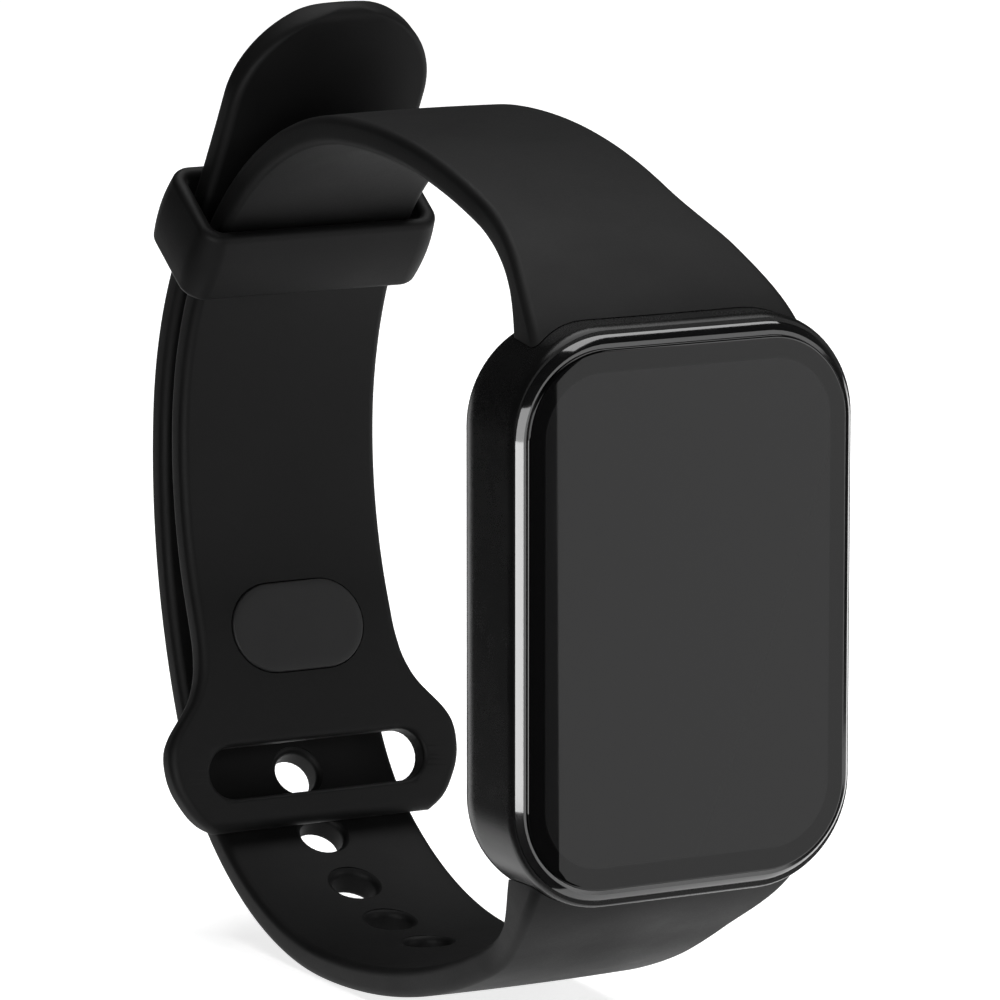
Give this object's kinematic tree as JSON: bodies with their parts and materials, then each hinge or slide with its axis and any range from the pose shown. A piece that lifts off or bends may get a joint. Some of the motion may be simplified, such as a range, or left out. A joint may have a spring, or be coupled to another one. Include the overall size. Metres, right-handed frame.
{
  "type": "smartwatch",
  "caption": "Rectangular smartwatch with a black glass front on a closed silicone band with stud clasp and sliding keeper.",
  "frame": {"origin": "centre of the wrist seat: the flat sensor face on the back of the case", "axes": "+X across the band, to the right when the display is read; +Z towards the upper band end, 12 o'clock; +Y out of the back, into the wrist"},
  "size_m": [0.0288, 0.0719, 0.0764],
  "materials": {
    "case_satin": "satin black coated shell",
    "rim_gloss": "polished black rim",
    "front_glass": "polished black cover glass over a dark display",
    "adhesive": "matte black foam adhesive",
    "display": "display off, dark",
    "flex_amber": "amber polyimide film",
    "frame_steel": "stamped steel",
    "battery_foil": "laminated foil pouch",
    "lead_red": "soft insulation",
    "board_green": "solder resist",
    "chip_black": "moulded epoxy",
    "can_tin": "tin plated",
    "weight_grey": "sintered, dull",
    "led_lens": "clear green lens",
    "window_dark": "dark polished window",
    "cover_gloss": "gloss black moulded cover",
    "contact_gold": "gold plated",
    "latch_dark": "dark satin",
    "band_silicone": "matte black silicone",
    "rail_dark": "glass filled nylon",
    "stud_dark": "dark polished stud"
  },
  "bodies": {
    "case": {"case_body": "case_satin", "bezel_ring": "rim_gloss", "front_glass": "front_glass", "glass_adhesive": "adhesive", "display_panel": "display", "display_flex": "flex_amber", "mid_frame": "frame_steel", "frame_screws": "frame_steel", "battery": "battery_foil", "battery_lead": "lead_red", "main_board": "board_green", "board_chips": "chip_black", "shield_can": "can_tin", "motor_can": "can_tin", "antenna_strip": "flex_amber", "sensor_board": "board_green", "sensor_leds": "led_lens", "sensor_flex": "flex_amber", "sensor_window": "window_dark", "back_cover": "cover_gloss", "back_gasket": "adhesive", "charging_contacts": "contact_gold", "charging_magnets": "weight_grey", "latch_springs": "frame_steel"},
    "motor_rotor": {"motor_shaft": "frame_steel", "motor_weight": "weight_grey"},
    "top_latch": {"top_latch_button": "latch_dark"},
    "bottom_latch": {"bottom_latch_button": "latch_dark"},
    "band": {"upper_band": "band_silicone", "lower_band": "band_silicone", "upper_rail": "rail_dark", "lower_rail": "rail_dark", "stud_plate": "band_silicone", "clasp_stud": "stud_dark"},
    "keeper": {"keeper_loop": "band_silicone"},
    "tongue": {"tongue_tip": "band_silicone"}
  },
  "joints": [
    {"name": "band_slide", "type": "slide", "parent": "case", "child": "band", "axis": [1, 0, 0], "range_m": [0, 0.024]},
    {"name": "keeper_slide", "type": "hinge", "parent": "band", "child": "keeper", "pos_m": [0, 0.02737, 0.00372], "axis": [1, 0, 0], "range_deg": [-16, 2.5]},
    {"name": "tongue_flex", "type": "hinge", "parent": "band", "child": "tongue", "pos_m": [0, 0.04891, 0.02829], "axis": [1, 0, 0], "range_deg": [-20, 12], "stiffness_Nm_per_rad": 0.005},
    {"name": "top_latch_press", "type": "slide", "parent": "case", "child": "top_latch", "axis": [0, -1, 0], "range_m": [0, 0.0005], "stiffness_N_per_m": 400},
    {"name": "bottom_latch_press", "type": "slide", "parent": "case", "child": "bottom_latch", "axis": [0, -1, 0], "range_m": [0, 0.0005], "stiffness_N_per_m": 400},
    {"name": "motor_spin", "type": "hinge", "parent": "case", "child": "motor_rotor", "pos_m": [0, -0.0062, 0.0131], "axis": [1, 0, 0], "continuous": true}
  ]
}
